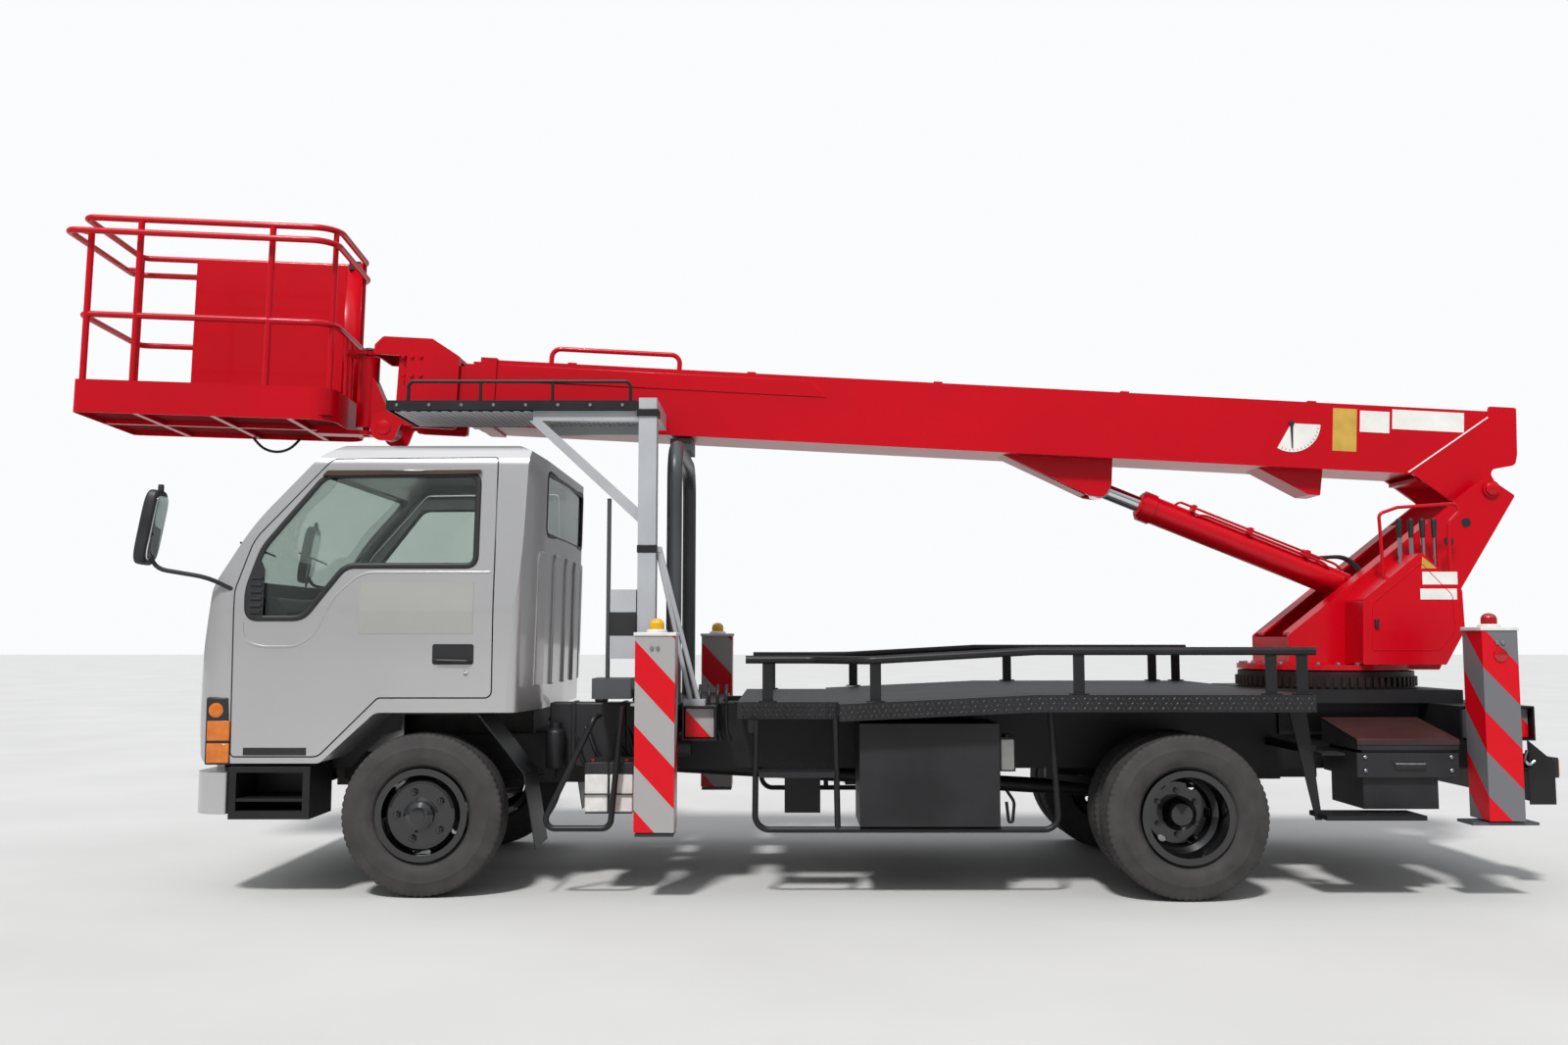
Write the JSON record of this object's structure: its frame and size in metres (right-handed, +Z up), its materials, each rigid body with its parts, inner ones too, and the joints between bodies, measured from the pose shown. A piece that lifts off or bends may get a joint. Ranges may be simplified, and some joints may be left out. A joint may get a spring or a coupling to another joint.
{
  "type": "cherry picker truck",
  "caption": "Light cab-over truck with a deck, outriggers, a slewing turntable, a telescopic boom raised by a cylinder, and a levelled work basket over the cab.",
  "frame": {"origin": "on the ground, under the middle of the whole truck", "axes": "+X forward, +Y to the truck's left, +Z up"},
  "size_m": [8.0153, 2.3, 3.5437],
  "materials": {
    "frame_black": "semi-gloss chassis black",
    "ring_black": "greased steel",
    "engine_grey": "rough cast iron",
    "cab_silver": "metallic silver paint",
    "window_glass": "clear glass",
    "cab_plastic": "grained grey plastic",
    "seat_fabric": "woven seat cloth",
    "bumper_silver": "metallic silver paint",
    "lamp_clear": "clear and amber lens",
    "lamp_red": "red lens",
    "mirror_black": "moulded black plastic",
    "deck_black": "chequered plate, painted",
    "box_black": "satin black",
    "gantry_grey": "light grey paint",
    "rest_grey": "dark grey paint",
    "boom_red": "gloss red paint",
    "chrome_rod": "hard chrome",
    "tyre_rubber": "moulded rubber",
    "rim_paint": "gloss black wheel paint",
    "outrigger_red": "red paint with pale slanted stripes",
    "jack_steel": "dark paint"
  },
  "bodies": {
    "chassis": {"chassis_frame": "frame_black", "subframe": "frame_black", "slew_ring": "ring_black", "engine_gearbox": "engine_grey", "front_axle": "frame_black", "rear_axle": "frame_black", "cab_shell": "cab_silver", "cab_glass": "window_glass", "dashboard": "cab_plastic", "seats": "seat_fabric", "front_bumper": "bumper_silver", "front_lamps": "lamp_clear", "rear_lamps": "lamp_red", "mirrors": "mirror_black", "cab_steps": "frame_black", "front_arches": "frame_black", "deck": "deck_black", "deck_rails": "frame_black", "side_guards": "frame_black", "tool_boxes": "box_black", "fuel_tank": "box_black", "rear_bumper": "frame_black", "gantry": "gantry_grey", "access_platform": "frame_black", "boom_rest": "rest_grey"},
    "steering_wheel": {"steering_wheel": "cab_plastic"},
    "turntable": {"turntable": "boom_red", "control_cabinet": "boom_red"},
    "lift_barrel": {"lift_barrel": "boom_red"},
    "lift_rod": {"lift_rod": "chrome_rod"},
    "boom_base": {"boom_base": "boom_red"},
    "boom_second": {"boom_second": "boom_red"},
    "boom_third": {"boom_third": "boom_red"},
    "boom_tip": {"boom_tip": "boom_red"},
    "basket_bracket": {"basket_bracket": "boom_red"},
    "basket": {"basket_tray": "boom_red", "basket_rails": "boom_red"},
    "door_left": {"door_left": "cab_silver", "door_glass_left": "window_glass"},
    "knuckle_left": {"knuckle_left": "frame_black"},
    "wheel_front_left": {"tyre_front_left": "tyre_rubber", "rim_front_left": "rim_paint"},
    "wheels_rear_left": {"tyre_rear_left": "tyre_rubber", "rim_rear_left": "rim_paint"},
    "outrigger_front_left": {"outrigger_front_left": "outrigger_red"},
    "jack_front_left": {"jack_front_left": "jack_steel"},
    "outrigger_rear_left": {"outrigger_rear_left": "outrigger_red"},
    "jack_rear_left": {"jack_rear_left": "jack_steel"},
    "door_right": {"door_right": "cab_silver", "door_glass_right": "window_glass"},
    "knuckle_right": {"knuckle_right": "frame_black"},
    "wheel_front_right": {"tyre_front_right": "tyre_rubber", "rim_front_right": "rim_paint"},
    "wheels_rear_right": {"tyre_rear_right": "tyre_rubber", "rim_rear_right": "rim_paint"},
    "outrigger_front_right": {"outrigger_front_right": "outrigger_red"},
    "jack_front_right": {"jack_front_right": "jack_steel"},
    "outrigger_rear_right": {"outrigger_rear_right": "outrigger_red"},
    "jack_rear_right": {"jack_rear_right": "jack_steel"}
  },
  "joints": [
    {"name": "door_left_swing", "type": "hinge", "parent": "chassis", "child": "door_left", "pos_m": [2.77376, 0.976, 1.1], "axis": [0, 0, -1], "range_deg": [0, 68]},
    {"name": "steer_left", "type": "hinge", "parent": "chassis", "child": "knuckle_left", "pos_m": [1.85976, 0.62, 0.4], "axis": [0, 0, 1], "range_deg": [-35, 35]},
    {"name": "wheel_front_left_roll", "type": "hinge", "parent": "knuckle_left", "child": "wheel_front_left", "pos_m": [1.85976, 0.83, 0.4], "axis": [0, 1, 0], "continuous": true},
    {"name": "wheels_rear_left_roll", "type": "hinge", "parent": "chassis", "child": "wheels_rear_left", "pos_m": [-1.87024, 0.8, 0.4], "axis": [0, 1, 0], "continuous": true},
    {"name": "outrigger_front_left_out", "type": "slide", "parent": "chassis", "child": "outrigger_front_left", "axis": [0, 1, 0], "range_m": [0, 0.85]},
    {"name": "jack_front_left_down", "type": "slide", "parent": "outrigger_front_left", "child": "jack_front_left", "axis": [0, 0, -1], "range_m": [0, 0.45]},
    {"name": "outrigger_rear_left_out", "type": "slide", "parent": "chassis", "child": "outrigger_rear_left", "axis": [0, 1, 0], "range_m": [0, 0.85]},
    {"name": "jack_rear_left_down", "type": "slide", "parent": "outrigger_rear_left", "child": "jack_rear_left", "axis": [0, 0, -1], "range_m": [0, 0.45]},
    {"name": "door_right_swing", "type": "hinge", "parent": "chassis", "child": "door_right", "pos_m": [2.77376, -0.976, 1.1], "axis": [0, 0, 1], "range_deg": [0, 68]},
    {"name": "steer_right", "type": "hinge", "parent": "chassis", "child": "knuckle_right", "pos_m": [1.85976, -0.62, 0.4], "axis": [0, 0, 1], "range_deg": [-35, 35]},
    {"name": "wheel_front_right_roll", "type": "hinge", "parent": "knuckle_right", "child": "wheel_front_right", "pos_m": [1.85976, -0.83, 0.4], "axis": [0, 1, 0], "continuous": true},
    {"name": "wheels_rear_right_roll", "type": "hinge", "parent": "chassis", "child": "wheels_rear_right", "pos_m": [-1.87024, -0.8, 0.4], "axis": [0, 1, 0], "continuous": true},
    {"name": "outrigger_front_right_out", "type": "slide", "parent": "chassis", "child": "outrigger_front_right", "axis": [0, -1, 0], "range_m": [0, 0.85]},
    {"name": "jack_front_right_down", "type": "slide", "parent": "outrigger_front_right", "child": "jack_front_right", "axis": [0, 0, -1], "range_m": [0, 0.45]},
    {"name": "outrigger_rear_right_out", "type": "slide", "parent": "chassis", "child": "outrigger_rear_right", "axis": [0, -1, 0], "range_m": [0, 0.85]},
    {"name": "jack_rear_right_down", "type": "slide", "parent": "outrigger_rear_right", "child": "jack_rear_right", "axis": [0, 0, -1], "range_m": [0, 0.45]},
    {"name": "steering_wheel_turn", "type": "hinge", "parent": "chassis", "child": "steering_wheel", "pos_m": [2.41976, -0.47, 1.4], "axis": [-0.5299, 0, 0.848], "range_deg": [-525, 525]},
    {"name": "slew", "type": "hinge", "parent": "chassis", "child": "turntable", "pos_m": [-2.95524, 0, 0.993], "axis": [0, 0, 1], "continuous": true},
    {"name": "boom_lift", "type": "hinge", "parent": "turntable", "child": "boom_base", "pos_m": [-3.79024, 0, 2.077], "axis": [0, -1, 0], "range_deg": [0, 75]},
    {"name": "lift_barrel_tilt", "type": "hinge", "parent": "turntable", "child": "lift_barrel", "pos_m": [-3.14024, 0, 1.53], "axis": [0, -1, 0], "range_deg": [0, 71.17]},
    {"name": "lift_rod_out", "type": "slide", "parent": "lift_barrel", "child": "lift_rod", "axis": [0.9269, 0, 0.3753], "range_m": [0, 1.02608]},
    {"name": "boom_second_out", "type": "slide", "parent": "boom_base", "child": "boom_second", "axis": [0.9986, 0, 0.0523], "range_m": [0, 4.1]},
    {"name": "boom_third_out", "type": "slide", "parent": "boom_second", "child": "boom_third", "axis": [0.9986, 0, 0.0523], "range_m": [0, 4.1]},
    {"name": "boom_tip_out", "type": "slide", "parent": "boom_third", "child": "boom_tip", "axis": [0.9986, 0, 0.0523], "range_m": [0, 4.1]},
    {"name": "basket_level", "type": "hinge", "parent": "boom_tip", "child": "basket_bracket", "pos_m": [2.32976, 0, 2.44], "axis": [0, 1, 0], "range_deg": [0, 75]},
    {"name": "basket_swing", "type": "hinge", "parent": "basket_bracket", "child": "basket", "pos_m": [2.46973, 0, 2.44269], "axis": [-0.0192, 0, 0.9998], "range_deg": [-50, 40]}
  ],
  "couplings": [
    {"joint": "steer_right", "follows": "steer_left", "ratio": 1},
    {"joint": "steering_wheel_turn", "follows": "steer_left", "ratio": 15},
    {"joint": "lift_barrel_tilt", "follows": "boom_lift", "ratio": 0.94875},
    {"joint": "lift_rod_out", "follows": "boom_lift", "m_per_rad": 0.78348},
    {"joint": "boom_third_out", "follows": "boom_second_out", "ratio": 1},
    {"joint": "boom_tip_out", "follows": "boom_second_out", "ratio": 1},
    {"joint": "basket_level", "follows": "boom_lift", "ratio": 1}
  ]
}
